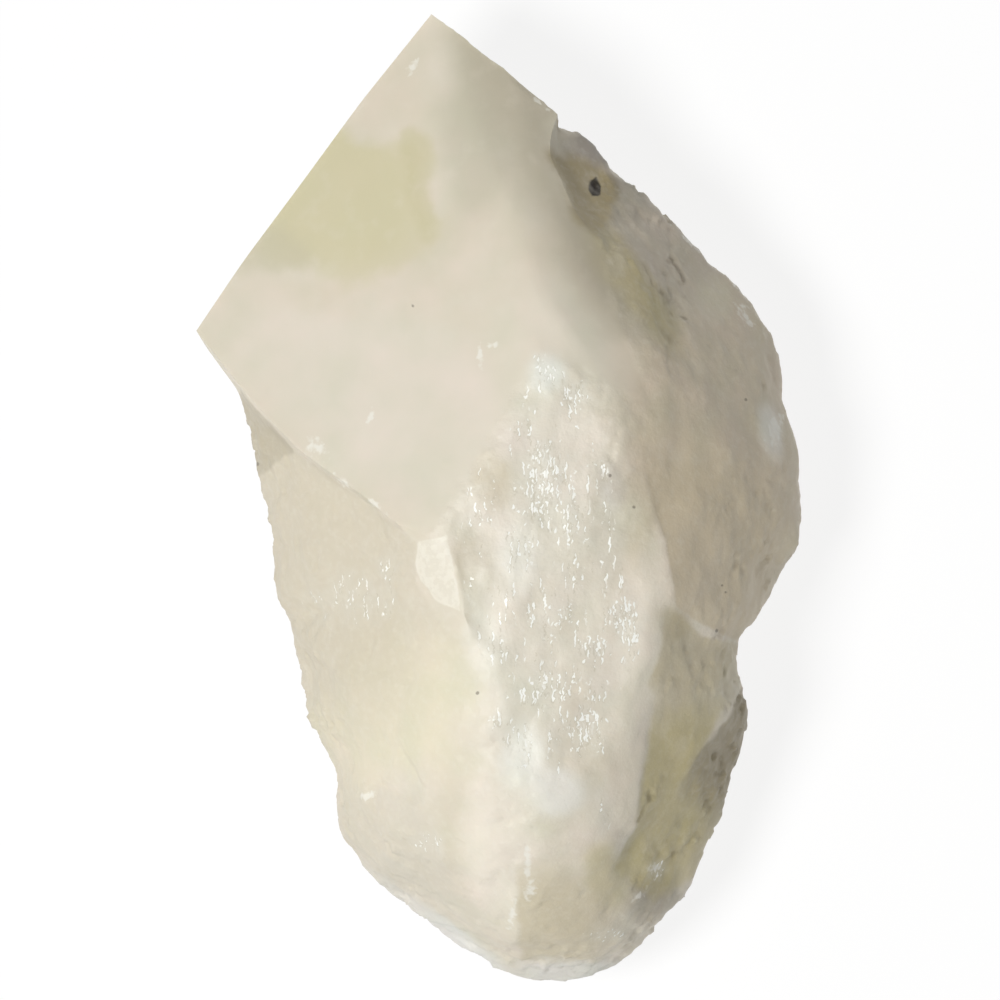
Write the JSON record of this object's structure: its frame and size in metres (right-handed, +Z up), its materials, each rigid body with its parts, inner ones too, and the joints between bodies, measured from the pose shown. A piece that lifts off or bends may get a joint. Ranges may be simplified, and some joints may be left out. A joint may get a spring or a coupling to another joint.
{
  "type": "milky quartz point",
  "caption": "Milky white quartz crystal lying on its back: the tip is cut to a flat kite face and a soft ridge, over a rough broken body with a streaky scar down the front.",
  "frame": {"origin": "centre of the bounding box's bottom face, on the plane of the underside flat that the crystal lies on", "axes": "+Y along the crystal toward the cut tip, +X to the right seen from above with the tip away from the viewer, +Z up"},
  "size_m": [0.0752, 0.12, 0.0472],
  "materials": {
    "milky_quartz": "milky, cut smooth on the tip and rough where it broke"
  },
  "bodies": {
    "root": {"quartz_point": "milky_quartz"}
  },
  "joints": []
}
